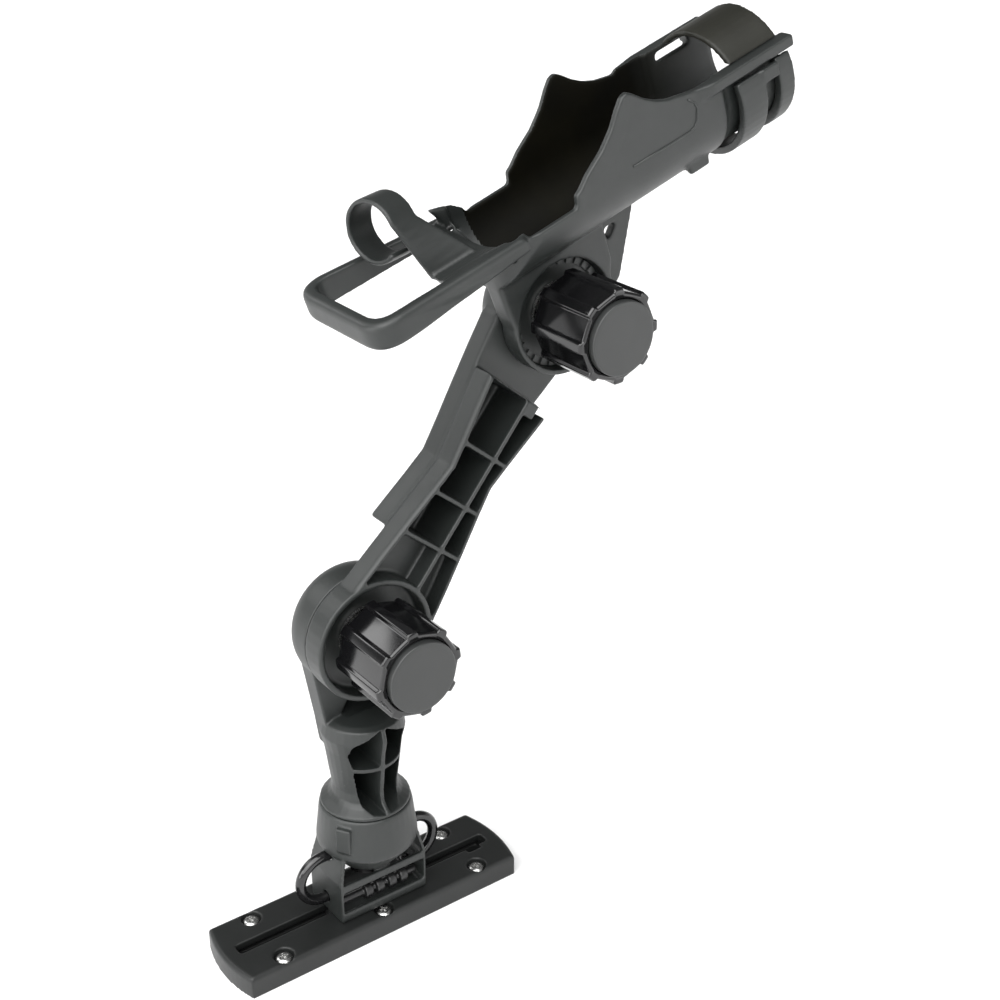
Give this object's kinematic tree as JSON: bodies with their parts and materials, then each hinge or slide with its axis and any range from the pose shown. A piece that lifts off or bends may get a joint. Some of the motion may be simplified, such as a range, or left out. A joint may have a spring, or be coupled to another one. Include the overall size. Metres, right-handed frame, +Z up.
{
  "type": "rod holder",
  "caption": "Boat fishing rod holder: open cradle with a handle loop on a two-joint arm, a swivel post and a foot that slides along a slotted deck track.",
  "frame": {"origin": "centre of the track's flat underside", "axes": "+X along the track towards the cradle's raised end, +Y away from the knobs, +Z up"},
  "size_m": [0.3407, 0.0937, 0.449],
  "materials": {
    "black_nylon": "fine matt moulded grain",
    "track_nylon": "satin, slightly smoother than the holder",
    "gloss_black": "gloss",
    "satin_black": "satin",
    "stainless_steel": "satin"
  },
  "bodies": {
    "track": {"track_rail": "track_nylon", "track_screw_1": "stainless_steel", "track_screw_2": "stainless_steel", "track_screw_3": "stainless_steel", "track_screw_4": "stainless_steel", "track_screw_5": "stainless_steel", "track_screw_6": "stainless_steel"},
    "foot": {"foot_frame": "black_nylon", "slot_shoe": "satin_black", "lock_shaft": "satin_black"},
    "loop_right": {"pull_loop_right": "gloss_black"},
    "loop_left": {"pull_loop_left": "gloss_black"},
    "post": {"post": "black_nylon", "post_retaining_ring": "stainless_steel", "lower_nut": "stainless_steel"},
    "arm": {"arm": "black_nylon", "lower_washer": "stainless_steel", "upper_nut": "stainless_steel"},
    "lower_grip": {"lower_knob": "gloss_black", "lower_knob_cap": "satin_black", "lower_bolt": "stainless_steel"},
    "cradle": {"cradle_trough": "black_nylon", "upper_teeth": "black_nylon", "cradle_bridge": "black_nylon", "cradle_end_ring": "black_nylon", "handle_loop": "black_nylon", "butt_strap": "black_nylon", "upper_washer": "stainless_steel"},
    "upper_grip": {"upper_knob": "gloss_black", "upper_knob_cap": "satin_black", "upper_bolt": "stainless_steel"},
    "collar": {"lock_collar": "black_nylon"}
  },
  "joints": [
    {"name": "foot_slide", "type": "slide", "parent": "track", "child": "foot", "axis": [1, 0, 0], "range_m": [-0.05, 0.045]},
    {"name": "loop_right_pull", "type": "slide", "parent": "foot", "child": "loop_right", "axis": [1, 0, 0], "range_m": [0, 0.004], "stiffness_N_per_m": 400},
    {"name": "loop_left_pull", "type": "slide", "parent": "foot", "child": "loop_left", "axis": [-1, 0, 0], "range_m": [0, 0.004], "stiffness_N_per_m": 400},
    {"name": "post_turn", "type": "hinge", "parent": "foot", "child": "post", "pos_m": [0.0022, 0, 0.0743], "axis": [0, 0, 1], "continuous": true},
    {"name": "arm_tilt", "type": "hinge", "parent": "post", "child": "arm", "pos_m": [0.0044, 0, 0.1725], "axis": [0, 1, 0], "range_deg": [-70, 40]},
    {"name": "lower_knob_turn", "type": "hinge", "parent": "arm", "child": "lower_grip", "pos_m": [0.0044, 0, 0.1725], "axis": [0, 1, 0], "continuous": true},
    {"name": "cradle_tilt", "type": "hinge", "parent": "arm", "child": "cradle", "pos_m": [0.1204, 0, 0.3148], "axis": [0, 1, 0], "range_deg": [-30, 75]},
    {"name": "upper_knob_turn", "type": "hinge", "parent": "cradle", "child": "upper_grip", "pos_m": [0.1204, 0, 0.3148], "axis": [0, 1, 0], "continuous": true},
    {"name": "collar_turn", "type": "hinge", "parent": "cradle", "child": "collar", "pos_m": [0.21439, 0, 0.40949], "axis": [0.9438, 0, 0.3305], "range_deg": [0, 30]}
  ]
}
